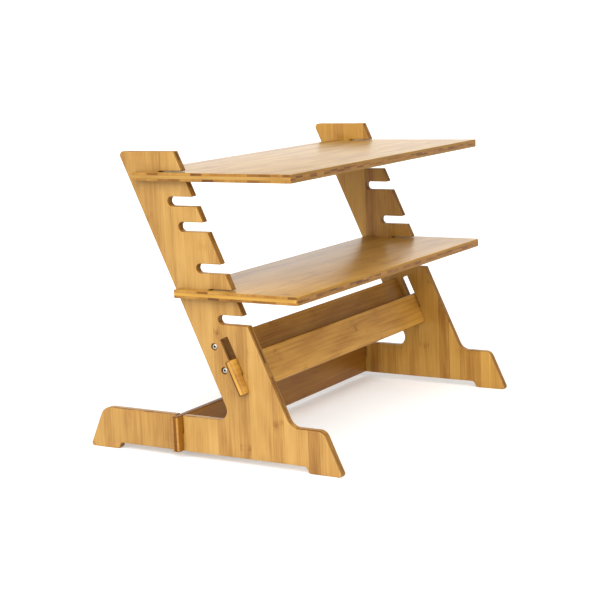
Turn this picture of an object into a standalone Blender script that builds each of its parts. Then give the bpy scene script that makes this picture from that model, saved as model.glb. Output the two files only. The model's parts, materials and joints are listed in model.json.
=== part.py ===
"""Bamboo monitor riser stand: two leaning side panels, two shelves held in open notches,
a lift-out front beam with hooked ends, a lift-out rear cross beam, and a bolted back brace.

Frame: +Z up, the user sits at -Y, +X is the user's right. The origin is on the floor, at the
middle of the stand. Units are metres.
"""

import math

import bmesh
import bpy
from mathutils import Euler, Vector

MM = 0.001

# Driving dimensions.
BOARD = 15.0 * MM                # thickness of every bamboo board
EASE = 1.2 * MM                  # chamfer that eases every edge of a board
GAP = 0.3 * MM                   # gap between pieces that touch
HEIGHT = 544.0 * MM              # top of the side panels
STAND_WIDTH = 690.0 * MM         # over the outer faces of the side panels
BOARD_LENGTH = 720.0 * MM        # shelves and beams, 15 mm past each panel
LEAN_ANGLE = math.radians(24.6)  # uprights, slots and beams lean back by this much
SLOT_CLEARANCE = 1.0 * MM        # play of a board in the slot that it straddles a panel with

# Side panel: the foot.
FOOT_TIP = 268.0 * MM            # from the middle to the tip of each foot, on the floor
FOOT_TOP = 76.6 * MM
BELLY = 11.8 * MM                # underside of the foot between its two pads
PAD_END = 200.0 * MM             # from the middle to the middle of the step up to the belly
STEP_RUN = 6.0 * MM
STEP_RADIUS = 7.0 * MM
TOE_RADIUS = 5.0 * MM
FRONT_FOOT_RADIUS = 17.0 * MM
REAR_FOOT_RADIUS = 26.0 * MM

# Side panel: the upright and its notches.
REAR_AT_FLOOR = -84.85 * MM      # where the line of the rear edge meets the floor
UPRIGHT_WIDTH = 119.3 * MM       # level width of the upright
REAR_FILLET = 18.0 * MM
FRONT_FILLET = 22.0 * MM
CROWN_RADIUS = 7.5 * MM
TOOTH_RADIUS = 2.0 * MM
NOTCH_HEIGHT = 16.6 * MM
NOTCH_DEPTH = 60.0 * MM          # from the lower lip to the round inner end
NOTCH_PITCH = 43.8 * MM
UPPER_NOTCH = 493.5 * MM         # floor of the highest notch of the upper three
LOWER_NOTCH = 334.5 * MM         # floor of the highest notch of the lower three
NOTCHES_IN_GROUP = 3

# Side panel: the leaning slot for the front beam, measured along and across the lean.
SLOT_FOOT = 162.3 * MM           # height of the slot's lower front corner
SLOT_FRONT_AT_FLOOR = -152.3 * MM
SLOT_WIDTH = 17.0 * MM
SLOT_LENGTH = 70.6 * MM
SLOT_RADIUS = 1.6 * MM

# Shelves.
UPPER_SHELF_FRONT = -200.0 * MM
UPPER_SHELF_REAR = 125.5 * MM
LOWER_SHELF_FRONT = -203.5 * MM
LOWER_SHELF_REAR = 49.0 * MM
UPPER_SHELF_NOTCH = 0            # counted down within the upper three
LOWER_SHELF_NOTCH = 1            # counted down within the lower three
UPPER_SHELF_CORNER = 3.5 * MM
LOWER_SHELF_CORNER = 9.0 * MM
SHELF_REAR_CORNER = 2.0 * MM

# Beams and brace.
BEAM_HEIGHT = 64.8 * MM
BEAM_CORNER = 4.5 * MM
BEAM_TAB = 31.0 * MM             # height of the front beam left above its end notches
CROSS_BEAM_FRONT = 55.3 * MM
BRACE_HEIGHT = 66.0 * MM
BRACE_CENTRE = (-29.7 * MM, 186.1 * MM)
BRACE_CORNER = 2.0 * MM

# Connector bolts and the barrel nuts that they screw into.
BOLT_SPACING = 45.0 * MM
BOLT_RADIUS = 3.0 * MM
BOLT_HEAD_RADIUS = 5.3 * MM
BOLT_HEAD_HEIGHT = 3.2 * MM
BOLT_LENGTH = 45.0 * MM
BOLT_SIDES = 24
SOCKET_RADIUS = 2.3 * MM
SOCKET_DEPTH = 2.0 * MM
PANEL_HOLE_RADIUS = 3.5 * MM
COUNTERBORE_RADIUS = 6.3 * MM
COUNTERBORE_DEPTH = 5.0 * MM     # sinks a bolt's head below the panel's outer face
NUT_RADIUS = 5.0 * MM
NUT_LENGTH = 12.0 * MM
NUT_INSET = 26.0 * MM            # nut's axis from the end of the brace
NUT_SLOT_WIDTH = 1.6 * MM
NUT_SLOT_DEPTH = 1.2 * MM

ARC_STEP = math.radians(15.0)    # largest turn between two points of an arc

LEAN = math.tan(LEAN_ANGLE)
ALONG = Vector((math.sin(LEAN_ANGLE), math.cos(LEAN_ANGLE)))    # (y, z) up along the lean
ACROSS = Vector((math.cos(LEAN_ANGLE), -math.sin(LEAN_ANGLE)))  # (y, z) towards the rear
PANEL_MIDDLE = STAND_WIDTH / 2 - BOARD / 2
LAP = BEAM_HEIGHT / 2            # depth of the cross beam's half-lap joint

# Turns an outline's (x, y, thickness) into the world's (y, z, x), (x, y, z) or (x, z, -y).
PANEL_TURN = (math.pi / 2, 0.0, math.pi / 2)
LEVEL_TURN = (0.0, 0.0, 0.0)
UPRIGHT_TURN = (math.pi / 2, 0.0, 0.0)
LEANING_TURN = (math.pi / 2 - LEAN_ANGLE, 0.0, 0.0)


def clear_scene():
    for obj in list(bpy.data.objects):
        bpy.data.objects.remove(obj, do_unlink=True)


def new_collection(name):
    collection = bpy.data.collections.new(name)
    bpy.context.scene.collection.children.link(collection)
    return collection


def new_material(name, colour, roughness, metallic=0.0):
    material = bpy.data.materials.new(name)
    material.use_nodes = True
    principled = material.node_tree.nodes["Principled BSDF"]
    principled.inputs["Base Color"].default_value = (*colour, 1.0)
    principled.inputs["Roughness"].default_value = roughness
    principled.inputs["Metallic"].default_value = metallic
    return material


def add_object(collection, name, mesh, material=None):
    obj = bpy.data.objects.new(name, mesh)
    collection.objects.link(obj)
    if material:
        mesh.materials.clear()
        mesh.materials.append(material)
    return obj


# Outlines.

def rounded(corners):
    """The points of a closed outline whose corners are (x, y, radius); radius 0 stays sharp."""
    points = []
    for index, (x, y, radius) in enumerate(corners):
        corner = Vector((x, y))
        before = Vector(corners[index - 1][:2]) - corner
        after = Vector(corners[(index + 1) % len(corners)][:2]) - corner
        if radius == 0.0:
            points.append(corner)
            continue
        half_angle = before.angle(after) / 2
        reach = radius / math.tan(half_angle)
        start = corner + before.normalized() * reach
        centre = corner + (before.normalized() + after.normalized()).normalized() * (
            radius / math.sin(half_angle))
        turn = math.pi - 2 * half_angle
        steps = max(1, math.ceil(turn / ARC_STEP))
        side = 1.0 if before.x * after.y - before.y * after.x < 0 else -1.0
        spoke = start - centre
        for step in range(steps + 1):
            angle = side * turn * step / steps
            points.append(centre + Vector((
                spoke.x * math.cos(angle) - spoke.y * math.sin(angle),
                spoke.x * math.sin(angle) + spoke.y * math.cos(angle))))
    return points


def circle(centre, radius, sides):
    return [Vector((centre[0] + radius * math.cos(2 * math.pi * i / sides),
                    centre[1] + radius * math.sin(2 * math.pi * i / sides)))
            for i in range(sides)]


def front_edge(z):
    return REAR_AT_FLOOR - UPRIGHT_WIDTH + z * LEAN


def rear_edge(z):
    return REAR_AT_FLOOR + z * LEAN


def notch_floors():
    """Heights of the notch floors, from the top down."""
    floors = []
    for top in (UPPER_NOTCH, LOWER_NOTCH):
        floors += [top - NOTCH_PITCH * i for i in range(NOTCHES_IN_GROUP)]
    return floors


def notch_end(floor):
    """The y where a notch's straight part ends and its round inner end begins."""
    return front_edge(floor) + NOTCH_DEPTH - NOTCH_HEIGHT / 2


def bolt_points():
    """The (y, z) of the two bolts through each panel, lower and upper."""
    centre = Vector(BRACE_CENTRE)
    return [centre + ALONG * (BOLT_SPACING / 2 * side) for side in (-1, 1)]


def slot_point(across, along):
    """A point (y, z) measured from the leaning slot's lower front corner."""
    corner = Vector((SLOT_FRONT_AT_FLOOR + SLOT_FOOT * LEAN, SLOT_FOOT))
    return corner + ACROSS * across + ALONG * along


def panel_outline():
    instep = FOOT_TIP - FOOT_TOP * LEAN
    lap_front = CROSS_BEAM_FRONT - SLOT_CLEARANCE / 2
    lap_rear = CROSS_BEAM_FRONT + BOARD + SLOT_CLEARANCE / 2
    lap_floor = FOOT_TOP - LAP - GAP
    corners = [
        (-FOOT_TIP, 0.0, TOE_RADIUS),
        (-PAD_END - STEP_RUN / 2, 0.0, STEP_RADIUS),
        (-PAD_END + STEP_RUN / 2, BELLY, STEP_RADIUS),
        (PAD_END - STEP_RUN / 2, BELLY, STEP_RADIUS),
        (PAD_END + STEP_RUN / 2, 0.0, STEP_RADIUS),
        (FOOT_TIP, 0.0, TOE_RADIUS),
        (instep, FOOT_TOP, REAR_FOOT_RADIUS),
        (lap_rear, FOOT_TOP, 0.0),
        (lap_rear, lap_floor, 0.0),
        (lap_front, lap_floor, 0.0),
        (lap_front, FOOT_TOP, 0.0),
        (rear_edge(FOOT_TOP), FOOT_TOP, REAR_FILLET),
        (rear_edge(HEIGHT), HEIGHT, CROWN_RADIUS),
        (front_edge(HEIGHT), HEIGHT, TOOTH_RADIUS),
    ]
    for floor in notch_floors():
        ceiling = floor + NOTCH_HEIGHT
        end = front_edge(floor) + NOTCH_DEPTH
        corners += [
            (front_edge(ceiling), ceiling, TOOTH_RADIUS),
            (end, ceiling, NOTCH_HEIGHT / 2 - 0.01 * MM),
            (end, floor, NOTCH_HEIGHT / 2 - 0.01 * MM),
            (front_edge(floor), floor, TOOTH_RADIUS),
        ]
    corners += [
        (front_edge(FOOT_TOP), FOOT_TOP, FRONT_FILLET),
        (-instep, FOOT_TOP, FRONT_FOOT_RADIUS),
    ]
    return rounded(corners)


def slot_outline():
    corners = ((0.0, 0.0), (SLOT_WIDTH, 0.0), (SLOT_WIDTH, SLOT_LENGTH), (0.0, SLOT_LENGTH))
    return rounded([(*slot_point(across, along), SLOT_RADIUS) for across, along in corners])


def slotted_board_outline(edge, far_edge, slot_end, corner_radius, slotted_radius):
    """A board along X, symmetric about x = 0, with a slot over each panel open at `edge`."""
    end = BOARD_LENGTH / 2
    slot_outside = PANEL_MIDDLE + (BOARD + SLOT_CLEARANCE) / 2
    slot_inside = PANEL_MIDDLE - (BOARD + SLOT_CLEARANCE) / 2
    half = [
        (slot_inside, edge, 0.0),
        (slot_inside, slot_end, 0.0),
        (slot_outside, slot_end, 0.0),
        (slot_outside, edge, 0.0),
        (end, edge, slotted_radius),
        (end, far_edge, corner_radius),
    ]
    mirrored = [(-x, y, radius) for x, y, radius in reversed(half)]
    return rounded(half + mirrored)


# Solids.

def board(collection, name, outlines, location, turn, material):
    """A flat board with eased edges: the first outline is its edge and the others are holes."""
    curve = bpy.data.curves.new(name, "CURVE")
    curve.dimensions = "2D"
    curve.fill_mode = "BOTH"
    curve.extrude = BOARD / 2 - EASE
    curve.bevel_depth = EASE
    curve.bevel_resolution = 0
    curve.offset = -EASE
    for outline in outlines:
        spline = curve.splines.new("POLY")
        spline.points.add(len(outline) - 1)
        for point, place in zip(spline.points, outline):
            point.co = (place.x, place.y, 0.0, 1.0)
        spline.use_cyclic_u = True
    source = bpy.data.objects.new(name + "_outline", curve)
    collection.objects.link(source)
    source.location = location
    source.rotation_euler = Euler(turn)
    bpy.context.view_layer.update()
    depsgraph = bpy.context.evaluated_depsgraph_get()
    mesh = bpy.data.meshes.new_from_object(source.evaluated_get(depsgraph))
    weld_and_face_out(mesh)
    obj = add_object(collection, name, mesh, material)
    obj.matrix_world = source.matrix_world
    bpy.data.objects.remove(source, do_unlink=True)
    bpy.data.curves.remove(curve)
    return obj


def weld_and_face_out(mesh):
    shape = bmesh.new()
    shape.from_mesh(mesh)
    bmesh.ops.remove_doubles(shape, verts=shape.verts, dist=0.00001)
    bmesh.ops.recalc_face_normals(shape, faces=shape.faces)
    shape.to_mesh(mesh)
    shape.free()


def cylinder(collection, name, radius, length, location, axis, sides):
    """A cylinder centred at `location` with its length along `axis`."""
    mesh = bpy.data.meshes.new(name)
    shape = bmesh.new()
    bmesh.ops.create_cone(shape, cap_ends=True, segments=sides, radius1=radius, radius2=radius,
                          depth=length)
    shape.to_mesh(mesh)
    shape.free()
    obj = add_object(collection, name, mesh)
    obj.location = location
    obj.rotation_euler = Vector(axis).to_track_quat("Z", "Y").to_euler()
    return obj


def cube(collection, name, size, location, turn):
    mesh = bpy.data.meshes.new(name)
    shape = bmesh.new()
    bmesh.ops.create_cube(shape, size=1.0)
    bmesh.ops.scale(shape, vec=size, verts=shape.verts)
    shape.to_mesh(mesh)
    shape.free()
    obj = add_object(collection, name, mesh)
    obj.location = location
    obj.rotation_euler = Euler(turn)
    return obj


def cut(obj, cutter):
    cutter.hide_render = True
    cutter.display_type = "WIRE"
    modifier = obj.modifiers.new("cut_" + cutter.name, "BOOLEAN")
    modifier.operation = "DIFFERENCE"
    modifier.solver = "EXACT"
    modifier.object = cutter


# Sub-parts.

def side_panel(parts, cutters, name, side, material):
    """A side panel, whose one outline is the foot, the leaning upright and its six notches."""
    holes = [slot_outline()]
    holes += [circle(point, PANEL_HOLE_RADIUS, BOLT_SIDES) for point in bolt_points()]
    location = (side * PANEL_MIDDLE, 0.0, 0.0)
    panel = board(parts, name, [panel_outline()] + holes, location, PANEL_TURN, material)
    for level, point in zip(("lower", "upper"), bolt_points()):
        place = Vector((side * STAND_WIDTH / 2, *point))
        cut(panel, cylinder(cutters, "counterbore_{}_{}".format(name, level),
                            COUNTERBORE_RADIUS, 2 * COUNTERBORE_DEPTH, place, (1, 0, 0),
                            BOLT_SIDES))
    return panel


def shelf(parts, name, front, rear, floor, corner, material):
    """A level shelf whose rear slots straddle the panels behind the notches."""
    height = floor + GAP + BOARD / 2
    middle = (front + rear) / 2
    outline = slotted_board_outline(rear - middle, front - middle,
                                    notch_end(floor) - GAP - middle, corner,
                                    SHELF_REAR_CORNER)
    return board(parts, name, [outline], (0.0, middle, height), LEVEL_TURN, material)


def front_beam(parts, material):
    """A leaning plank with hooked ends that drop over the lower end of the panels' slots."""
    tab_foot = GAP
    across = SLOT_WIDTH - GAP - BOARD / 2
    origin = slot_point(across, tab_foot)
    outline = slotted_board_outline(BEAM_TAB - BEAM_HEIGHT, BEAM_TAB, 0.0, BEAM_CORNER,
                                    BEAM_CORNER)
    return board(parts, "front_hook_beam", [outline], (0.0, origin.x, origin.y), LEANING_TURN,
                 material)


def cross_beam(parts, material):
    """An upright plank that half-laps down into the panels' rear feet."""
    outline = slotted_board_outline(BELLY, FOOT_TOP, FOOT_TOP - LAP, BEAM_CORNER, BEAM_CORNER)
    location = (0.0, CROSS_BEAM_FRONT + BOARD / 2, 0.0)
    return board(parts, "rear_cross_beam", [outline], location, UPRIGHT_TURN, material)


def back_brace(parts, cutters, material):
    """A leaning plank between the panels, drilled for the bolts and the barrel nuts."""
    end = STAND_WIDTH / 2 - BOARD - GAP
    half_height = BRACE_HEIGHT / 2
    outline = rounded([(x * end, y * half_height, BRACE_CORNER)
                       for x, y in ((-1, -1), (1, -1), (1, 1), (-1, 1))])
    location = (0.0, *BRACE_CENTRE)
    brace = board(parts, "back_brace", [outline], location, LEANING_TURN, material)
    bolt_depth = BOLT_LENGTH + COUNTERBORE_DEPTH - BOARD + 2 * MM
    nut_depth = (BOARD + NUT_LENGTH) / 2 + GAP
    rearward = Vector((0.0, *ACROSS))
    for side in (-1, 1):
        for level, point in zip(("lower", "upper"), bolt_points()):
            label = "{}_{}".format("left" if side < 0 else "right", level)
            place = Vector((side * (end - bolt_depth / 2 + MM), *point))
            cut(brace, cylinder(cutters, "bolt_hole_" + label, BOLT_RADIUS + GAP,
                                bolt_depth + 2 * MM, place, (1, 0, 0), BOLT_SIDES))
            # The hole for the nut is blind: it starts at the brace's rear face.
            place = Vector((side * (end - NUT_INSET), *point))
            place += rearward * (BOARD / 2 - nut_depth / 2 + MM)
            cut(brace, cylinder(cutters, "nut_hole_" + label, NUT_RADIUS + GAP,
                                nut_depth + 2 * MM, place, rearward, BOLT_SIDES))
    return brace


def bolt_mesh():
    """A connector bolt turned about +X: the head at the origin, the shank towards +X."""
    profile = [
        (-BOLT_HEAD_HEIGHT, 0.0),
        (-BOLT_HEAD_HEIGHT, BOLT_HEAD_RADIUS * 0.72),
        (-BOLT_HEAD_HEIGHT * 0.72, BOLT_HEAD_RADIUS * 0.9),
        (-BOLT_HEAD_HEIGHT * 0.35, BOLT_HEAD_RADIUS),
        (0.0, BOLT_HEAD_RADIUS),
        (0.0, BOLT_RADIUS),
        (BOLT_LENGTH - MM, BOLT_RADIUS),
        (BOLT_LENGTH, BOLT_RADIUS - MM),
        (BOLT_LENGTH, 0.0),
    ]
    shape = bmesh.new()
    verts = [shape.verts.new((x, 0.0, radius)) for x, radius in profile]
    edges = [shape.edges.new(pair) for pair in zip(verts, verts[1:])]
    bmesh.ops.spin(shape, geom=verts + edges, cent=(0, 0, 0), axis=(1, 0, 0),
                   angle=2 * math.pi, steps=BOLT_SIDES, use_merge=True)
    bmesh.ops.remove_doubles(shape, verts=shape.verts, dist=0.00001)
    bmesh.ops.recalc_face_normals(shape, faces=shape.faces)
    mesh = bpy.data.meshes.new("connector_bolt")
    shape.to_mesh(mesh)
    shape.free()
    return mesh


def bolt(parts, cutters, label, side, point, material):
    """A connector bolt through a panel, its head and hexagon socket sunk in the outer face."""
    mesh = bolt_mesh()
    obj = add_object(parts, "connector_bolt_" + label, mesh, material)
    head = STAND_WIDTH / 2 - COUNTERBORE_DEPTH + GAP
    obj.location = (side * head, *point)
    obj.rotation_euler = Euler((0.0, 0.0, 0.0 if side < 0 else math.pi))
    place = Vector((side * (head + BOLT_HEAD_HEIGHT), *point))
    cut(obj, cylinder(cutters, "socket_" + label, SOCKET_RADIUS, 2 * SOCKET_DEPTH, place,
                      (1, 0, 0), 6))
    mesh.shade_smooth()
    mesh.set_sharp_from_angle(angle=math.radians(35.0))
    return obj


def barrel_nut(parts, cutters, label, side, point, material):
    """A barrel nut lying through the brace, bored across for its bolt."""
    rearward = Vector((0.0, *ACROSS))
    end = STAND_WIDTH / 2 - BOARD - GAP
    centre = Vector((side * (end - NUT_INSET), *point))
    obj = cylinder(parts, "barrel_nut_" + label, NUT_RADIUS, NUT_LENGTH, centre, rearward,
                   BOLT_SIDES)
    obj.data.materials.append(material)
    cut(obj, cylinder(cutters, "nut_bore_" + label, BOLT_RADIUS + GAP, 4 * NUT_RADIUS, centre,
                      (1, 0, 0), BOLT_SIDES))
    slot_place = centre + rearward * (NUT_LENGTH / 2)
    slot_size = (NUT_SLOT_WIDTH, 4 * NUT_RADIUS, 2 * NUT_SLOT_DEPTH)
    cut(obj, cube(cutters, "nut_slot_" + label, slot_size, slot_place, LEANING_TURN))
    obj.data.shade_smooth()
    obj.data.set_sharp_from_angle(angle=math.radians(35.0))
    return obj


def build():
    clear_scene()
    parts = new_collection("monitor_riser_stand")
    cutters = new_collection("cutters")
    panel_bamboo = new_material("bamboo_panel", (0.68, 0.42, 0.17), 0.45)
    shelf_bamboo = new_material("bamboo_shelf", (0.66, 0.40, 0.17), 0.35)
    beam_bamboo = new_material("bamboo_beam", (0.58, 0.34, 0.13), 0.45)
    bolt_steel = new_material("bolt_steel", (0.72, 0.72, 0.70), 0.25, 1.0)
    nut_steel = new_material("nut_steel", (0.55, 0.55, 0.55), 0.4, 1.0)

    side_panel(parts, cutters, "left_side_panel", -1, panel_bamboo)
    side_panel(parts, cutters, "right_side_panel", 1, panel_bamboo)
    floors = notch_floors()
    shelf(parts, "upper_shelf", UPPER_SHELF_FRONT, UPPER_SHELF_REAR,
          floors[UPPER_SHELF_NOTCH], UPPER_SHELF_CORNER, shelf_bamboo)
    shelf(parts, "lower_shelf", LOWER_SHELF_FRONT, LOWER_SHELF_REAR,
          floors[NOTCHES_IN_GROUP + LOWER_SHELF_NOTCH], LOWER_SHELF_CORNER, shelf_bamboo)
    front_beam(parts, beam_bamboo)
    cross_beam(parts, beam_bamboo)
    back_brace(parts, cutters, beam_bamboo)
    for side, side_name in ((-1, "left"), (1, "right")):
        for level, point in zip(("lower", "upper"), bolt_points()):
            label = side_name + "_" + level
            bolt(parts, cutters, label, side, point, bolt_steel)
            barrel_nut(parts, cutters, label, side, point, nut_steel)


build()
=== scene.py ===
"""The looks of the bamboo monitor riser stand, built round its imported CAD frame.

Every board is made again from the outline of its CAD node, with finer corners and rounded
arrises, and the two loose beams have their ends and long edges rounded over. The boards are
three-ply bamboo: laths, fibres and knuckles on the faces, and the plies' side and end grain on
the edges. The bolts and barrel nuts get their machined detail.
"""

import json
import math

import bmesh
import bpy
from mathutils import Matrix, Vector


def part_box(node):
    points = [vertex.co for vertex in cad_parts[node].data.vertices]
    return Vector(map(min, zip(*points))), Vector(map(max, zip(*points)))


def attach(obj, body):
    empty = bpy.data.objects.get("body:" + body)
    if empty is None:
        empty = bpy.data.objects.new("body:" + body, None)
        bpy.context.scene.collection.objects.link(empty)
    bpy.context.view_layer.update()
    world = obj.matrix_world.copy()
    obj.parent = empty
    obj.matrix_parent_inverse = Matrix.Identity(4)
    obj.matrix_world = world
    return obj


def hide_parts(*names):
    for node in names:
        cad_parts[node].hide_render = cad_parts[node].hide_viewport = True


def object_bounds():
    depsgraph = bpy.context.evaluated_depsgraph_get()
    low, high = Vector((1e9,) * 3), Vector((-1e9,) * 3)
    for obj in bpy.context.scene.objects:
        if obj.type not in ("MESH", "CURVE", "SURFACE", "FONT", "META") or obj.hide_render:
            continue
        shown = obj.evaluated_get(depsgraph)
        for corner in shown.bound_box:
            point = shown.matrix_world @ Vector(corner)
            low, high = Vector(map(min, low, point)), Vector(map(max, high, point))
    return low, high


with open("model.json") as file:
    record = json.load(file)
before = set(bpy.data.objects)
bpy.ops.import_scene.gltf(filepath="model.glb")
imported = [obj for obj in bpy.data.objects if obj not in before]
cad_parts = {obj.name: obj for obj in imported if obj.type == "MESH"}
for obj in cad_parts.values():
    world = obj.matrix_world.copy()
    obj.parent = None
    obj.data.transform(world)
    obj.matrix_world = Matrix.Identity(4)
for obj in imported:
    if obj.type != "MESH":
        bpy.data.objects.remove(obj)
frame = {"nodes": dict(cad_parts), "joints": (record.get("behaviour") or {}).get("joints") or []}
CAD_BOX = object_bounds()

MM = 0.001

X = Vector((1.0, 0.0, 0.0))
Y = Vector((0.0, 1.0, 0.0))
Z = Vector((0.0, 0.0, 1.0))
UP_LEAN = Vector(next(joint["axis"] for joint in frame["joints"]
                      if joint["name"] == "front_beam_lift")).normalized()
REARWARD = -X.cross(UP_LEAN)     # out of the rear face of the leaning boards

# Reading the CAD.
CAD_WELD = 0.01 * MM             # CAD points nearer than this are one point
CAP_DEPTH = 0.05 * MM            # how far below its highest point a flat face may reach
CAD_ARC_STEP = math.radians(16.0)    # largest turn at a point of a round corner
LARGEST_CORNER = 40.0 * MM
STRAIGHT = math.radians(0.3)     # an outline that turns less than this runs straight on

# Boards.
ROUND = 1.5 * MM                 # radius of a board's rounded arrises
ROUND_STEPS = 3
SOFT = 4.0 * MM                  # radius of the ends and long edges of the two loose beams
SOFT_STEPS = 6
SLACK = 0.005 * MM               # keeps the rounded arrises just inside the CAD's outline
SLIVER = 0.001 * MM              # points that a cut leaves nearer than this are one point
ARC_STEP = math.radians(4.0)     # largest turn between two points of a rounded corner
WELD = 0.005 * MM                # a new mesh's points nearer than this are one point
FLAT = 0.999                     # least Z of the normal of a lying board's flat faces
BOARD_CREASE = math.radians(38.0)    # a sharper edge than this is shaded as a crease
COUNTERBORE_EASE = 0.4 * MM      # chamfer at the mouth of a counterbore
LATH_WIDTH = 23.0 * MM
RIGHT_LATH_WIDTH = 23.5 * MM     # the right panel's own
LEFT_LATH_SHIFT = -203.0 * MM    # where lath 0 of each side panel starts
RIGHT_LATH_SHIFT = 214.0 * MM
CORE_HALF = 2.9 * MM             # half the thickness of the core ply
GLUE_LINE = 0.14 * MM

# Bolts and barrel nuts.
TURNED_SIDES = 48
THREAD_PITCH = 1.0 * MM
THREAD_DEPTH = 0.55 * MM
THREAD_LENGTH = 26.0 * MM
THREAD_RUN_IN = 2.0 * MM         # length over which a thread grows to its full depth
RINGS_PER_TURN = 6
HEAD_HEIGHT = 3.2 * MM
SOCKET_REACH = 2.3 * MM          # from the middle of the hexagon socket to its corners
SOCKET_DEPTH = 2.0 * MM
BOLT_POINT = 1.0 * MM            # length and depth of the chamfer on a bolt's point
NUT_CHAMFER = 0.6 * MM
NUT_BORE = 3.2 * MM              # radius of the threaded hole across a barrel nut
NUT_SLOT_WIDTH = 1.6 * MM
NUT_SLOT_DEPTH = 1.2 * MM
BOLT_CREASE = math.radians(32.0)
NUT_CREASE = math.radians(30.0)

# Light.
HORIZON = 1.1                    # the white sweep's own brightness, low all round
HORIZON_BAND = (0.08, 0.30)      # sines of the heights where it starts and ends to fade
FLOOR_SIZE = 30.0
FLOOR_GAP = 0.1 * MM             # keeps the floor just under the feet
FLOOR_COLOUR = (0.72, 0.72, 0.72, 1.0)
FLOOR_GLOW = 0.3
WHITE = (1.0, 1.0, 1.0, 1.0)
PICTURE_GAMMA = 0.85
SOFTBOXES = (                    # direction towards it, tightness, strength
    ((-1.00, 0.00, 0.15), 6.0, 1.4),
    ((-0.70, 0.00, 0.70), 6.0, 3.1),
    ((-0.70, -0.70, 0.15), 6.0, 1.6),
    ((-0.50, -0.50, 0.70), 6.0, 1.9),
    ((0.00, -0.80, 0.60), 6.0, 1.0),
    ((0.00, 0.00, 1.00), 4.0, 0.3),
    ((0.70, -0.70, 0.30), 6.0, 0.7),
    ((0.85, 0.52, 0.05), 6.0, 2.2),
)

# Camera.
CAMERA_PLACE = (-2.44778, -1.48979, 0.73465)
CAMERA_TURN = math.radians(-58.45)
CAMERA_DOWN = math.radians(10.01)
CAMERA_ROLL = math.radians(-2.38)
CAMERA_LENS = 90.62
CAMERA_SENSOR = 36.0
CAMERA_NEAREST = 0.05


# Outlines, read from the frame.

def cap_loops(node, right, up):
    """A board's flat face as outlines of points (along `right`, along `up`), its middle plane
    and its thickness."""
    facing = right.cross(up)
    shape = bmesh.new()
    shape.from_mesh(node.data)
    bmesh.ops.remove_doubles(shape, verts=shape.verts, dist=CAD_WELD)
    top = max(vert.co.dot(facing) for vert in shape.verts)
    low = min(vert.co.dot(facing) for vert in shape.verts)
    cap = {face for face in shape.faces
           if all(vert.co.dot(facing) > top - CAP_DEPTH for vert in face.verts)}
    neighbours = {}
    for edge in shape.edges:
        if sum(face in cap for face in edge.link_faces) == 1:
            first, second = edge.verts
            neighbours.setdefault(first, []).append(second)
            neighbours.setdefault(second, []).append(first)
    loops = []
    while neighbours:
        vert = next(iter(neighbours))
        loop = []
        while vert in neighbours:
            loop.append(Vector((vert.co.dot(right), vert.co.dot(up))))
            one, other = neighbours.pop(vert)
            vert = one if one in neighbours else other
        loops.append(loop)
    shape.free()
    return loops, (top + low) / 2, top - low


def cap_inset(node, loops, up):
    """How far a board's flat face stops short of its side, where the CAD eases its edge."""
    reach = max(vert.co.dot(up) for vert in node.data.vertices)
    return reach - max(point.y for loop in loops for point in loop)


def turns(loop):
    """How far an outline turns at each of its points."""
    angles = []
    for index, point in enumerate(loop):
        before = point - loop[index - 1]
        after = loop[(index + 1) % len(loop)] - point
        angles.append(math.atan2(before.x * after.y - before.y * after.x, before.dot(after)))
    return angles


def finer(loop):
    """The same outline with its straight runs joined and its round corners made finer."""
    loop = [point for point, turn in zip(loop, turns(loop)) if abs(turn) > STRAIGHT]
    angles = turns(loop)
    points = []
    for index, point in enumerate(loop):
        points.append(point)
        following = (index + 1) % len(loop)
        pair = angles[index], angles[following]
        turn = max(pair, key=abs)
        chord = loop[following] - point
        radius = chord.length / (2 * math.sin(turn / 2))
        if abs(turn) > CAD_ARC_STEP or pair[0] * pair[1] < 0 or abs(radius) > LARGEST_CORNER:
            continue
        centre = (point + loop[following]) / 2
        centre += Vector((-chord.y, chord.x)).normalized() * radius * math.cos(turn / 2)
        steps = math.ceil(abs(turn) / ARC_STEP)
        for step in range(1, steps):
            spoke = point - centre
            spoke.rotate(Matrix.Rotation(turn * step / steps, 2))
            points.append(centre + spoke)
    return points


# Pieces.

def show(name, mesh, material, body, node):
    mesh.materials.clear()
    mesh.materials.append(material)
    piece = bpy.data.objects.new(name, mesh)
    bpy.context.scene.collection.objects.link(piece)
    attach(piece, body)
    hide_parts(node)
    return piece


def board_mesh(name, loops, thickness, offset):
    """A board lying flat, from outlines, with rounded arrises."""
    curve = bpy.data.curves.new(name, "CURVE")
    curve.dimensions = "2D"
    curve.fill_mode = "BOTH"
    curve.extrude = thickness / 2 - ROUND
    curve.bevel_depth = ROUND
    curve.bevel_resolution = ROUND_STEPS
    curve.offset = offset
    for loop in loops:
        spline = curve.splines.new("POLY")
        spline.points.add(len(loop) - 1)
        for target, point in zip(spline.points, loop):
            target.co = (point.x, point.y, 0.0, 1.0)
        spline.use_cyclic_u = True
    source = bpy.data.objects.new(name, curve)
    bpy.context.scene.collection.objects.link(source)
    depsgraph = bpy.context.evaluated_depsgraph_get()
    mesh = bpy.data.meshes.new_from_object(source.evaluated_get(depsgraph))
    bpy.data.objects.remove(source, do_unlink=True)
    bpy.data.curves.remove(curve)
    shape = bmesh.new()
    shape.from_mesh(mesh)
    bmesh.ops.remove_doubles(shape, verts=shape.verts, dist=WELD)
    bmesh.ops.recalc_face_normals(shape, faces=shape.faces)
    for face in shape.faces:
        face.smooth = abs(face.normal.z) < FLAT
        face.material_index = 0
    shape.to_mesh(mesh)
    shape.free()
    mesh.set_sharp_from_angle(angle=BOARD_CREASE)
    return mesh


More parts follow.
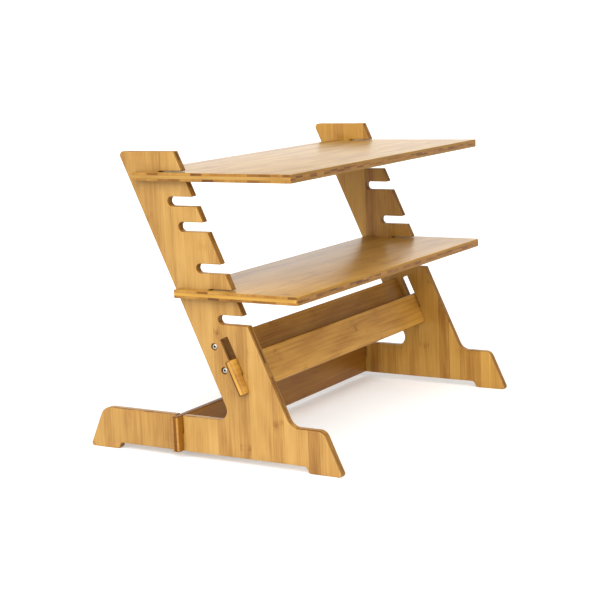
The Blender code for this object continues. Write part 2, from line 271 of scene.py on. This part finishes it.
def board(node, body, right, up, material, lot, grain_up=False, lath_shift=0.0, bolts=(),
          soft=False):
    """The piece that stands for a board. Its mesh keeps each point's place in the board, along
    the grain, across it and through the thickness, and the lot that its bamboo comes from. A
    soft board's ends and long edges are rounded over."""
    cad = frame["nodes"][node]
    loops, middle, thickness = cap_loops(cad, right, up)
    offset = cap_inset(cad, loops, up) - ROUND - SLACK
    mesh = board_mesh(node, [finer(loop) for loop in loops], thickness, offset)
    mesh = carved(mesh, [sink(cad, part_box(bolt), right, up) for bolt in bolts])
    if soft:
        mesh = carved(mesh, [soft_bar(mesh, 0, 1), soft_bar(mesh, 1, 0)], "INTERSECT")
    grain = mesh.attributes.new("grain", "FLOAT_VECTOR", "POINT")
    for value, vert in zip(grain.data, mesh.vertices):
        across, along = (vert.co.x, vert.co.y) if grain_up else (vert.co.y, vert.co.x)
        value.vector = (along, across - lath_shift, vert.co.z)
    for value in mesh.attributes.new("lot", "FLOAT", "POINT").data:
        value.value = lot
    facing = right.cross(up)
    placing = Matrix((right, up, facing)).transposed().to_4x4()
    placing.translation = facing * middle
    mesh.transform(placing)
    return show(node + "_board", mesh, material, body, node)


def soft_bar(mesh, axis, run):
    """A bar along the `run` axis, as wide as the mesh along `axis` and as thick as it along Z,
    with rounded corners."""
    sizes = [max(abs(vert.co[side]) for vert in mesh.vertices) for side in range(3)]
    middle = (max(vert.co[axis] for vert in mesh.vertices)
              + min(vert.co[axis] for vert in mesh.vertices)) / 2
    half = max(vert.co[axis] for vert in mesh.vertices) - middle + 2 * SLACK
    thick = sizes[2] + 2 * SLACK
    outline = []
    for corner, (across, up) in enumerate(((1, 1), (-1, 1), (-1, -1), (1, -1))):
        for step in range(SOFT_STEPS + 1):
            angle = (corner + step / SOFT_STEPS) * math.pi / 2
            outline.append((middle + across * (half - SOFT) + SOFT * math.cos(angle),
                            up * (thick - SOFT) + SOFT * math.sin(angle)))
    shape = bmesh.new()
    ends = []
    for reach in (-2 * sizes[run], 2 * sizes[run]):
        ring = []
        for place, height in outline:
            point = Vector((0.0, 0.0, height))
            point[axis] = place
            point[run] = reach
            ring.append(shape.verts.new(point))
        shape.faces.new(ring)
        ends.append(ring)
    for side in range(len(outline)):
        shape.faces.new((ends[0][side - 1], ends[0][side], ends[1][side], ends[1][side - 1]))
    bmesh.ops.recalc_face_normals(shape, faces=shape.faces)
    bar = bpy.data.meshes.new("bar")
    shape.to_mesh(bar)
    shape.free()
    bar.shade_smooth()
    return bar


def carved(mesh, cutters, operation="DIFFERENCE"):
    """The mesh with the cutters' meshes taken away from it, or with only what lies in them."""
    if not cutters:
        return mesh
    link = bpy.context.scene.collection.objects.link
    target = bpy.data.objects.new("carved", mesh)
    link(target)
    tools = [bpy.data.objects.new("cutter", cutter) for cutter in cutters]
    for tool in tools:
        link(tool)
        modifier = target.modifiers.new("cut", "BOOLEAN")
        modifier.operation = operation
        modifier.solver = "MANIFOLD"
        modifier.object = tool
    depsgraph = bpy.context.evaluated_depsgraph_get()
    result = bpy.data.meshes.new_from_object(target.evaluated_get(depsgraph))
    for made in [target] + tools:
        bpy.data.objects.remove(made, do_unlink=True)
    shape = bmesh.new()
    shape.from_mesh(result)
    bmesh.ops.remove_doubles(shape, verts=shape.verts, dist=SLIVER)
    shape.to_mesh(result)
    shape.free()
    result.set_sharp_from_angle(angle=BOARD_CREASE)
    return result


def sink(cad, bolt_box, right, up):
    """A cutter for the counterbore that a bolt's head is sunk in, for a board lying flat with
    its outer face down."""
    low, high = bolt_box
    centre = Vector((((low + high) / 2).dot(right), ((low + high) / 2).dot(up)))
    facing = right.cross(up)
    loops, _, thickness = cap_loops(cad, -right, up)
    mouth = min(loops, key=lambda loop: max(
        (Vector((-point.x, point.y)) - centre).length for point in loop))
    radius = max((Vector((-point.x, point.y)) - centre).length for point in mouth)
    heights = [vert.co.dot(facing) for vert in cad.data.vertices
               if abs((Vector((vert.co.dot(right), vert.co.dot(up))) - centre).length
                      - radius) < 0.1 * MM]
    depth = max(heights) - min(heights)
    ease = COUNTERBORE_EASE
    cutter = turned([(-ease, 0.0), (-ease, radius + 2 * ease), (ease, radius), (depth, radius),
                     (depth, 0.0)])
    cutter.transform(Matrix.Translation((*centre, -thickness / 2))
                     @ Matrix.Rotation(-math.pi / 2, 4, "Y"))
    return cutter


def turned(profile, bulge=None):
    """A closed solid turned about +X. The profile is (x, radius) pairs that start and end on
    the axis, and bulge(x, radius, angle) gives the radius where it isn't round."""
    shape = bmesh.new()
    rings = []
    for x, radius in profile:
        if radius == 0.0:
            rings.append([shape.verts.new((x, 0.0, 0.0))])
            continue
        ring = []
        for side in range(TURNED_SIDES):
            angle = 2 * math.pi * side / TURNED_SIDES
            reach = bulge(x, radius, angle) if bulge else radius
            ring.append(shape.verts.new((x, reach * math.cos(angle), reach * math.sin(angle))))
        rings.append(ring)
    for one, other in zip(rings, rings[1:]):
        for side in range(TURNED_SIDES):
            after = (side + 1) % TURNED_SIDES
            corners = [one[side % len(one)], one[after % len(one)],
                       other[after % len(other)], other[side % len(other)]]
            shape.faces.new(dict.fromkeys(corners))
    bmesh.ops.recalc_face_normals(shape, faces=shape.faces)
    mesh = bpy.data.meshes.new("turned")
    shape.to_mesh(mesh)
    shape.free()
    mesh.shade_smooth()
    return mesh


def head_profile(outer, shoulder, head, shank):
    """A pan head of radius `head`, from the bottom of its socket to the top of its shank. Its
    outer face is at `outer`, and it seats on its shoulder."""
    return [
        (outer + SOCKET_DEPTH + 0.6 * MM, 0.0),
        (outer + SOCKET_DEPTH, SOCKET_REACH * 0.75),
        (outer + SOCKET_DEPTH - 0.05 * MM, SOCKET_REACH),
        (outer + 0.25 * MM, SOCKET_REACH),
        (outer, SOCKET_REACH + 0.3 * MM),
        (outer, head * 0.66),
        (outer + 0.1 * MM, head * 0.75),
        (outer + 0.45 * MM, head * 0.87),
        (outer + 1.0 * MM, head * 0.955),
        (outer + 1.7 * MM, head * 0.995),
        (outer + 2.2 * MM, head),
        (shoulder - 0.25 * MM, head),
        (shoulder - 0.05 * MM, head - 0.2 * MM),
        (shoulder, head - 0.3 * MM),
        (shoulder, shank + 0.4 * MM),
        (shoulder + 0.4 * MM, shank),
    ]


def connector_bolt(node, material):
    """A pan-head bolt with a hexagon socket and a threaded shank, in the place of its node."""
    low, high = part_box(node)
    side = -1 if low.x < 0 else 1
    head = (high.z - low.z) / 2
    length = high.x - low.x
    cad = frame["nodes"][node].data.vertices
    outer = -length / 2
    shoulder = outer + HEAD_HEIGHT
    shank = max(abs(vert.co.z - (low.z + high.z) / 2) for vert in cad
                if abs(vert.co.x) < min(abs(low.x), abs(high.x)) + 5 * MM)
    thread_start = length / 2 - THREAD_LENGTH
    profile = head_profile(outer, shoulder, head, shank)
    ring_gap = THREAD_PITCH / RINGS_PER_TURN
    rings = int((THREAD_LENGTH - BOLT_POINT) / ring_gap)
    profile += [(thread_start + ring_gap * ring, shank) for ring in range(rings)]
    profile += [(length / 2 - 0.9 * BOLT_POINT, shank - THREAD_DEPTH),
                (length / 2, shank - BOLT_POINT), (length / 2, 0.0)]

    def bulge(x, radius, angle):
        if radius == SOCKET_REACH:
            sector = (angle + math.pi / 6) % (math.pi / 3) - math.pi / 6
            return radius * math.cos(math.pi / 6) / math.cos(abs(sector) - math.pi / 6)
        if radius == shank and x >= thread_start:
            phase = (x / THREAD_PITCH - angle / (2 * math.pi)) % 1.0
            run_in = min(1.0, (x - thread_start) / THREAD_RUN_IN)
            return radius - THREAD_DEPTH * abs(2 * phase - 1.0) * run_in
        return radius

    mesh = turned(profile, bulge)
    mesh.set_sharp_from_angle(angle=BOLT_CREASE)
    # Painted shade: faces inside the socket get a mark that grows with their depth and darkens
    # the steel's colour there.
    for value, vert in zip(mesh.attributes.new("socket_shade", "FLOAT", "POINT").data, mesh.vertices):
        if vert.co.x < shoulder and vert.co.yz.length < SOCKET_REACH + 0.05 * MM:
            value.value = min(1.0, (vert.co.x - outer) / MM)
    place = Matrix.Translation((low + high) / 2)
    if side > 0:
        place @= Matrix.Rotation(math.pi, 4, "Z")
    mesh.transform(place)
    return show(node + "_steel", mesh, material, "frame", node)


def barrel_nut(node, material):
    """A cross dowel with chamfered ends, a screwdriver slot and a bore across it."""
    low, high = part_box(node)
    verts = frame["nodes"][node].data.vertices
    middle = (low + high) / 2
    half = max(abs((vert.co - middle).dot(REARWARD)) for vert in verts)
    radius = (high.x - low.x) / 2
    profile = [(-half, 0.0), (-half, radius - NUT_CHAMFER), (NUT_CHAMFER - half, radius),
               (0.0, radius), (half - NUT_CHAMFER, radius), (half, radius - NUT_CHAMFER),
               (half, 0.0)]
    mesh = turned(profile)
    place = REARWARD.to_track_quat("X", "Z").to_matrix().to_4x4()
    place.translation = middle
    mesh.transform(place)
    bore = bpy.data.meshes.new("bore")
    shape = bmesh.new()
    bore_place = Matrix.Translation(middle) @ Matrix.Rotation(math.pi / 2, 4, "Y")
    bmesh.ops.create_cone(shape, cap_ends=True, segments=TURNED_SIDES, radius1=NUT_BORE,
                          radius2=NUT_BORE, depth=4 * radius, matrix=bore_place)
    shape.to_mesh(bore)
    shape.clear()
    slot_place = Matrix((X, UP_LEAN, -REARWARD)).transposed().to_4x4()
    slot_place.translation = middle + REARWARD * half
    slot_size = Matrix.Diagonal((NUT_SLOT_WIDTH, 4 * radius, 2 * NUT_SLOT_DEPTH, 1.0))
    bmesh.ops.create_cube(shape, size=1.0, matrix=slot_place @ slot_size)
    slot = bpy.data.meshes.new("slot")
    shape.to_mesh(slot)
    shape.free()
    mesh = carved(mesh, [bore, slot])
    mesh.shade_smooth()
    mesh.set_sharp_from_angle(angle=NUT_CREASE)
    return show(node + "_steel", mesh, material, "frame", node)


# Materials.

class Graph:
    """Nodes of a material or world, added one by one. A value is a number, a tuple or the
    output of another node."""

    def __init__(self, owner):
        owner.use_nodes = True
        self.owner = owner
        self.nodes = owner.node_tree.nodes
        self.links = owner.node_tree.links

    def node(self, kind, inputs=(), **settings):
        node = self.nodes.new("ShaderNode" + kind)
        for key, value in settings.items():
            setattr(node, key, value)
        for key, value in dict(inputs).items():
            self.put(node.inputs[key], value)
        return node

    def put(self, socket, value):
        if isinstance(value, bpy.types.NodeSocket):
            self.links.new(value, socket)
        else:
            socket.default_value = value

    def math(self, operation, *values):
        return self.node("Math", enumerate(values), operation=operation).outputs[0]

    def vector(self, x, y, z):
        return self.node("CombineXYZ", enumerate((x, y, z))).outputs[0]

    def split(self, vector):
        return self.node("SeparateXYZ", [(0, vector)]).outputs

    def scaled(self, values, factors):
        return [self.math("MULTIPLY", value, factor) for value, factor in zip(values, factors)]

    def noise(self, x, y, z, detail=2.0, roughness=0.5):
        inputs = {"Vector": self.vector(x, y, z), "Scale": 1.0, "Detail": detail,
                  "Roughness": roughness}
        return self.node("TexNoise", inputs).outputs[0]

    def fade(self, value, start, end, low=0.0, high=1.0):
        """`low` up to `start` and `high` from `end` on, with a smooth change between them."""
        inputs = {"Value": value, "From Min": start, "From Max": end, "To Min": low,
                  "To Max": high}
        return self.node("MapRange", inputs, interpolation_type="SMOOTHSTEP").outputs[0]

    def choose(self, factor, first, second):
        return self.node("Mix", {0: factor, 2: first, 3: second}).outputs[0]

    def blend(self, factor, first, second, kind="MIX"):
        inputs = {0: factor, 6: first, 7: second}
        return self.node("Mix", inputs, data_type="RGBA", blend_type=kind).outputs[2]

    def ramp(self, factor, stops):
        node = self.node("ValToRGB", [(0, factor)])
        elements = node.color_ramp.elements
        while len(elements) < len(stops):
            elements.new(0.5)
        for element, (place, colour) in zip(elements, stops):
            element.position = place
            element.color = (*colour, 1.0) if len(colour) == 3 else colour
        return node.outputs[0]

    def sum(self, *values):
        total = values[0]
        for value in values[1:]:
            total = self.math("ADD", total, value)
        return total


BAMBOO_SHADES = (
    (0.00, (0.150, 0.062, 0.011)),
    (0.25, (0.275, 0.135, 0.028)),
    (0.50, (0.390, 0.222, 0.057)),
    (0.75, (0.462, 0.284, 0.084)),
    (1.00, (0.530, 0.350, 0.120)),
)
LATH_TONES = ((0.00, -0.14), (0.12, -0.07), (0.35, -0.02), (0.70, 0.02), (0.90, 0.06),
              (1.00, 0.10))
END_TONES = ((0.00, (0.30, 0.21, 0.12)), (0.14, (0.52, 0.40, 0.27)),
             (0.32, (0.80, 0.71, 0.58)), (0.60, (0.90, 0.84, 0.74)),
             (1.00, (0.98, 0.95, 0.88)))
FLANK_GRAIN_AND_SHADE_TINT = (0.66, 0.59, 0.38, 1.0)        # on a board's long edges: partly the side grain's own colour, partly painted shade
FLANK_END_GRAIN_AND_SHADE_TINT = (0.86, 0.82, 0.70, 1.0)    # and where the core's cut ends show there, likewise partly painted shade
PORE_COLOUR = (0.25, 0.17, 0.10, 1.0)
GLUE_COLOUR = (0.20, 0.09, 0.03, 1.0)
CORE_END_TONE = 0.45             # the cut ends of the core are from the dark end of END_TONES

LATH_JUMP = 3.7                  # how far apart in the noise two laths' grain is
STREAKS = (5.0, 230.0)           # waves per metre along the grain and across it
THREADS = (14.0, 900.0)
PATCHES = (9.0, 34.0)
RIPPLE = (3.0, 90.0)
SPOTS = (45.0, 75.0)
FIBRE_ENDS = 1100.0              # cut fibres per metre
STREAK_TONE = 0.34               # how far each kind of grain moves the shade
THREAD_TONE = 0.56
PATCH_TONE = 0.52

KNUCKLE_SPACING = (0.21, 0.36)   # the least and the most along a lath, in metres
KNUCKLE_START = 7.0              # the largest start of a lath's knuckles, in spacings
KNUCKLE_WARP = 0.010
KNUCKLE_LINE = (0.2 * MM, 2.5 * MM)
KNUCKLE_SMUDGE = 15.0 * MM
SEAM = (0.004, 0.014)            # where the joint of two laths fades, in lath widths
SEAM_DARKNESS = 0.22
GLUE_DARKNESS = 0.5
FINISH_BUMP = 0.12 * MM


class Bamboo(Graph):
    """The nodes of three-ply bamboo. They start from the ply and the lath that a point is in,
    and its place there along the grain and across it."""

    def __init__(self, name, lath_width):
        super().__init__(bpy.data.materials.new(name))
        point = self.node("Attribute", attribute_name="grain").outputs["Vector"]
        u, v, self.height = self.split(point)
        self.lot = self.node("Attribute", attribute_name="lot").outputs["Fac"]
        self.depth = self.math("ABSOLUTE", self.height)
        self.core = self.math("LESS_THAN", self.depth, CORE_HALF)
        self.outer = self.math("SUBTRACT", 1.0, self.core)
        self.layer = self.math("MULTIPLY", self.math("SIGN", self.height), self.outer)
        self.length = self.choose(self.core, u, v)
        self.width = self.choose(self.core, v, u)
        place = self.math("DIVIDE", self.width, lath_width)
        self.lath = self.math("FLOOR", place)
        self.inside = self.math("SUBTRACT", place, self.lath)
        self.apart = self.math("MULTIPLY_ADD", self.lath, LATH_JUMP, self.lot)
        dice = self.node("TexWhiteNoise", {
            "Vector": self.vector(self.lath, self.lot, self.layer)}).outputs
        self.dice = (dice["Value"], *self.split(dice["Color"]))

    def grain(self, waves, third, detail=2.0, roughness=0.5):
        """Noise drawn out along the grain."""
        along, across = self.scaled((self.length, self.width), waves)
        return self.noise(along, across, third, detail, roughness)

    def sway(self, noise, reach):
        """Noise between 0 and 1, moved and scaled to lie around 0."""
        return self.math("MULTIPLY_ADD", noise, reach, -reach / 2)

    def lath_tone(self, accents, plies):
        """Each lath of each ply has a tone of its own."""
        tone = self.ramp(self.dice[0], [(x, (0.5 + y,) * 3) for x, y in LATH_TONES])
        tone = self.math("SUBTRACT", tone, 0.5)
        for number, accent in accents:
            here = self.math("COMPARE", self.lath, float(number), 0.1)
            here = self.math("MULTIPLY", here, self.outer)
            tone = self.choose(here, tone, accent)
        if plies:
            tone = self.choose(self.core, tone, plies[1])
        return tone

    def knuckles(self):
        """A knuckle is a faint line across the lath in an uneven smudge, and some hardly show."""
        spacing = self.fade(self.dice[2], 0.0, 1.0, *KNUCKLE_SPACING)
        ripple = self.grain(RIPPLE, self.apart)
        warped = self.math("MULTIPLY_ADD", ripple, KNUCKLE_WARP, self.length)
        phase = self.math("ADD", self.math("DIVIDE", warped, spacing),
                          self.math("MULTIPLY", self.dice[1], KNUCKLE_START))
        nearest = self.math("ABSOLUTE", self.math("SUBTRACT", self.math("FRACT", phase), 0.5))
        distance = self.math("MULTIPLY", nearest, spacing)
        line = self.fade(distance, *KNUCKLE_LINE, 1.0, 0.0)
        smudge = self.fade(distance, 0.0, KNUCKLE_SMUDGE, 1.0, 0.0)
        spots = self.fade(self.grain(SPOTS, self.apart, 4.0, 0.65), 0.38, 0.72)
        strength = self.node("TexWhiteNoise", {
            "Vector": self.vector(self.lath, self.math("FLOOR", phase), self.layer)})
        strength = self.fade(strength.outputs["Value"], 0.25, 0.9, 0.1, 1.0)
        mark = self.sum(self.math("MULTIPLY", line, 0.04),
                        self.math("MULTIPLY", self.math("MULTIPLY", smudge, spots), 0.30))
        return self.math("MULTIPLY", self.math("MULTIPLY", mark, strength), self.outer)

    def squareness(self, direction):
        """How squarely the surface faces along a direction, either way."""
        normal = self.node("NewGeometry").outputs["Normal"]
        node = self.node("VectorMath", {0: normal, 1: tuple(direction)},
                         operation="DOT_PRODUCT")
        return self.math("ABSOLUTE", node.outputs["Value"])

    def end_tone(self, plies):
        """The colour that a ply's cut end is multiplied by, with the pores of its fibres."""
        fibres = self.node("TexVoronoi", {
            "Vector": self.vector(*self.scaled((self.width, self.depth), (FIBRE_ENDS,) * 2), 0.0),
            "Scale": 1.0}).outputs["Distance"]
        tone = self.dice[3]
        if plies:
            front = self.math("GREATER_THAN", self.height, 0.0)
            tone = self.choose(front, plies[0], plies[2])
        tone = self.math("MULTIPLY", tone, self.choose(self.core, 1.0, CORE_END_TONE))
        pores = self.fade(fibres, 0.1, 0.45, 0.3, 0.0)
        return self.blend(pores, self.ramp(tone, END_TONES), PORE_COLOUR)

    def joints(self, edge, cut):
        """How dark the joints are between laths, and between plies on an edge."""
        seam = self.math("SUBTRACT", 0.5,
                         self.math("ABSOLUTE", self.math("SUBTRACT", self.inside, 0.5)))
        seam = self.math("MULTIPLY", self.fade(seam, *SEAM, 1.0, 0.0), SEAM_DARKNESS)
        seam = self.math("MULTIPLY", seam, self.fade(cut, 0.0, 1.0, 0.5, 1.0))
        glue = self.math("ABSOLUTE", self.math("SUBTRACT", self.depth, CORE_HALF))
        glue = self.math("MULTIPLY", self.fade(glue, GLUE_LINE, 2 * GLUE_LINE, 1.0, 0.0), edge)
        return self.math("MAXIMUM", seam, self.math("MULTIPLY", glue, GLUE_DARKNESS))


def bamboo(name, along, across, lath_width=LATH_WIDTH, tint_and_painted_light=(1.0, 1.0, 1.0), accents=(),
           plies=()):
    """Three-ply lacquered bamboo. `along` and `across` are the face grain's directions, and
    accents are (lath, tone) pairs for laths that stand out. The tint is partly the board's own
    colour and partly painted light and shade: boards that sit in shade get darker, more saturated
    tints, and lit boards get lighter or bluer ones.
    `plies` are how light the cut ends of the back ply are, from 0 to 1, the tone of the core,
    and how light the cut ends of the front ply are."""
    graph = Bamboo(name, lath_width)
    streaks = graph.grain(STREAKS, graph.apart)
    deeper = graph.math("MULTIPLY_ADD", graph.depth, THREADS[1], graph.apart)
    threads = graph.grain(THREADS, deeper, 3.0, 0.6)
    patches = graph.grain(PATCHES, graph.lot)
    knuckles = graph.knuckles()
    shade = graph.sum(
        0.5, graph.lath_tone(accents, plies), graph.sway(streaks, STREAK_TONE),
        graph.sway(threads, THREAD_TONE), graph.sway(patches, PATCH_TONE),
        graph.math("MULTIPLY", knuckles, -1.0))
    bare = graph.ramp(shade, BAMBOO_SHADES)
    # The tint is partly the board's own colour and partly painted light and shade.
    colour = graph.blend(1.0, bare, (*tint_and_painted_light, 1.0), "MULTIPLY")

    # The side of a ply shows its long grain, and its end shows cut fibres, often darker. The long
    # edges also get a darker tint, partly painted shade for the front edges, which face away from
    # the strongest light.
    at_end, at_flank = graph.squareness(along), graph.squareness(across)
    edge = graph.fade(graph.math("MAXIMUM", at_end, at_flank), 0.45, 0.9)
    flank_grain_and_shade = graph.fade(at_flank, 0.45, 0.9)
    cut = graph.fade(graph.choose(graph.core, at_end, at_flank), 0.45, 0.85)
    cut_ends = graph.blend(1.0, bare, graph.end_tone(plies), "MULTIPLY")
    # Painted shade, in part: the long edges are tinted darker.
    cut_ends = graph.blend(flank_grain_and_shade, cut_ends, FLANK_END_GRAIN_AND_SHADE_TINT, "MULTIPLY")
    colour = graph.blend(flank_grain_and_shade, colour, FLANK_GRAIN_AND_SHADE_TINT, "MULTIPLY")
    colour = graph.blend(cut, colour, cut_ends)
    dark = graph.joints(edge, cut)
    colour = graph.blend(dark, colour, GLUE_COLOUR)

    surface = graph.nodes["Principled BSDF"].inputs
    graph.put(surface["Base Color"], colour)
    graph.put(surface["Roughness"], graph.math("MULTIPLY_ADD", threads, 0.16, 0.42))
    graph.put(surface["Specular IOR Level"], 0.25)
    graph.put(surface["Coat Weight"], graph.fade(edge, 0.0, 1.0, 0.35, 0.15))
    graph.put(surface["Coat Roughness"], graph.math("MULTIPLY_ADD", streaks, 0.10, 0.20))
    height = graph.sum(threads, graph.math("MULTIPLY", knuckles, -1.5),
                       graph.math("MULTIPLY", dark, -2.0))
    bump = graph.node("Bump", {"Height": height, "Strength": 0.35, "Distance": FINISH_BUMP})
    graph.put(surface["Normal"], bump.outputs[0])
    return graph.owner


# Painted shade: the colour that darkens the depth of a bolt's hexagon socket.
SOCKET_SHADE_COLOUR = (0.07, 0.062, 0.05, 1.0)
MARKS = (2400.0, 300.0, 300.0)   # waves per metre along X, Y and Z
TARNISH = (420.0, 420.0, 420.0)


def steel(name, colour, roughness):
    """Plated steel with fine marks and a little tarnish, and painted shade that darkens the depth
    of a bolt's socket.
    """
    graph = Graph(bpy.data.materials.new(name))
    surface = graph.nodes["Principled BSDF"].inputs
    place = graph.split(graph.node("TexCoord").outputs["Object"])
    marks = graph.noise(*graph.scaled(place, MARKS))
    tarnish = graph.noise(*graph.scaled(place, TARNISH), 3.0, 0.6)
    socket_shade = graph.node("Attribute", attribute_name="socket_shade").outputs["Fac"]
    dull = tuple(channel * 0.7 for channel in colour)
    plating = graph.blend(graph.fade(tarnish, 0.4, 0.7), (*colour, 1.0), (*dull, 1.0))
    # Painted shade: the socket's depth is blended towards the dark colour.
    graph.put(surface["Base Color"], graph.blend(socket_shade, plating, SOCKET_SHADE_COLOUR))
    graph.put(surface["Metallic"], 1.0)
    graph.put(surface["Roughness"], graph.math("MULTIPLY_ADD", tarnish, 0.2, roughness - 0.1))
    bump = graph.node("Bump", {"Height": marks, "Strength": 0.2, "Distance": 0.03 * MM})
    graph.put(surface["Normal"], bump.outputs[0])
    return graph.owner


# Studio.

def studio():
    """A white sweep, lit by large softboxes."""
    world = Graph(bpy.data.worlds.new("studio"))
    bpy.context.scene.world = world.owner
    direction = world.node("TexCoord").outputs["Generated"]
    light = 0.0
    for toward, tightness, strength in SOFTBOXES:
        level = world.node("VectorMath", {0: direction, 1: tuple(Vector(toward).normalized())},
                           operation="DOT_PRODUCT").outputs["Value"]
        glow = world.math("POWER", world.math("MAXIMUM", level, 0.0), tightness)
        light = world.math("MULTIPLY_ADD", glow, strength, light)
    height = world.math("ABSOLUTE", world.split(direction)[2])
    light = world.math("MAXIMUM", light, world.fade(height, *HORIZON_BAND, HORIZON, 0.0))
    background = world.nodes["Background"].inputs
    world.put(background["Strength"], light)
    world.put(background["Color"], WHITE)

    floor_mesh = bpy.data.meshes.new("floor")
    shape = bmesh.new()
    bmesh.ops.create_grid(shape, x_segments=1, y_segments=1, size=FLOOR_SIZE)
    shape.to_mesh(floor_mesh)
    shape.free()
    floor = bpy.data.objects.new("floor", floor_mesh)
    floor.location.z = CAD_BOX[0][2] - FLOOR_GAP
    bpy.context.scene.collection.objects.link(floor)
    sweep = Graph(bpy.data.materials.new("white_sweep"))
    surface = sweep.nodes["Principled BSDF"].inputs
    sweep.put(surface["Base Color"], FLOOR_COLOUR)
    sweep.put(surface["Roughness"], 0.9)
    sweep.put(surface["Emission Color"], WHITE)
    sweep.put(surface["Emission Strength"], FLOOR_GLOW)
    floor_mesh.materials.append(sweep.owner)


def camera():
    turn, down, roll = CAMERA_TURN, CAMERA_DOWN, CAMERA_ROLL
    forward = Vector((-math.sin(turn) * math.cos(down), math.cos(turn) * math.cos(down),
                      -math.sin(down)))
    level = Vector((math.cos(turn), math.sin(turn), 0.0))
    above = level.cross(forward)
    right = level * math.cos(roll) + above * math.sin(roll)
    up = above * math.cos(roll) - level * math.sin(roll)
    lens = bpy.data.cameras.new("camera")
    lens.lens = CAMERA_LENS
    lens.sensor_width = CAMERA_SENSOR
    lens.clip_start = CAMERA_NEAREST
    view = bpy.data.objects.new("camera", lens)
    placing = Matrix((right, up, -forward)).transposed().to_4x4()
    placing.translation = CAMERA_PLACE
    view.matrix_world = placing
    bpy.context.scene.collection.objects.link(view)
    bpy.context.scene.camera = view


SIDES = ("left", "right")
LEVELS = ("lower", "upper")


def build():
    # Painted light and shade: each tint is partly the board's own colour and partly stands in for
    # light. The right panel, the brace and the cross beam, which sit in shade, are tinted darker
    # and more saturated. The lit left panel and the hook beam are tinted bluer or lighter.
    left = bamboo("bamboo_left", Z, Y, tint_and_painted_light=(0.98, 1.00, 1.10), accents=(
        (-1, -0.18), (0, 0.0), (1, 0.08), (2, -0.09), (3, 0.0), (4, 0.07), (6, -0.05),
        (7, -0.05), (9, 0.07), (10, 0.10), (12, -0.07), (15, -0.09), (19, 0.07)))
    right = bamboo("bamboo_right", Z, Y, RIGHT_LATH_WIDTH, tint_and_painted_light=(0.97, 0.94, 0.75), accents=(
        (0, 0.18), (-1, -0.12), (-2, -0.12), (-3, 0.12), (-4, -0.18), (-5, 0.05), (-6, 0.05),
        (-10, -0.10), (-11, -0.16)))
    upper = bamboo("bamboo_upper", X, Y, tint_and_painted_light=(0.94, 0.97, 0.98))
    lower = bamboo("bamboo_lower", X, Y, tint_and_painted_light=(1.08, 1.07, 0.80))
    hook = bamboo("bamboo_hook", X, UP_LEAN, tint_and_painted_light=(1.18, 1.15, 0.90), plies=(0.03, 0.06, 0.7))
    brace = bamboo("bamboo_brace", X, UP_LEAN, tint_and_painted_light=(0.95, 0.86, 0.56))
    cross = bamboo("bamboo_cross", X, Z, tint_and_painted_light=(0.66, 0.50, 0.17), plies=(0.8, -0.30, 0.8))
    connectors = {side: ["connector_bolt_{}_{}".format(side, level) for level in LEVELS]
                  for side in SIDES}
    board("left_side_panel", "frame", Y, Z, left, 1.0, grain_up=True,
          lath_shift=LEFT_LATH_SHIFT, bolts=connectors["left"])
    board("right_side_panel", "frame", -Y, Z, right, 2.0, grain_up=True,
          lath_shift=RIGHT_LATH_SHIFT, bolts=connectors["right"])
    board("upper_shelf", "upper_shelf", X, Y, upper, 3.0)
    board("lower_shelf", "lower_shelf", X, Y, lower, 4.0)
    board("front_hook_beam", "front_beam", X, UP_LEAN, hook, 5.0, soft=True)
    board("back_brace", "frame", X, UP_LEAN, brace, 6.0)
    board("rear_cross_beam", "cross_beam", X, Z, cross, 7.0, soft=True)
    bolt_steel = steel("bolt_steel", (0.62, 0.60, 0.55), 0.3)
    nut_steel = steel("nut_steel", (0.55, 0.55, 0.53), 0.36)
    for side in SIDES:
        for bolt, level in zip(connectors[side], LEVELS):
            connector_bolt(bolt, bolt_steel)
            barrel_nut("barrel_nut_{}_{}".format(side, level), nut_steel)


build()
studio()
camera()
bpy.context.scene.view_settings.view_transform = "Standard"
bpy.context.scene.view_settings.gamma = PICTURE_GAMMA
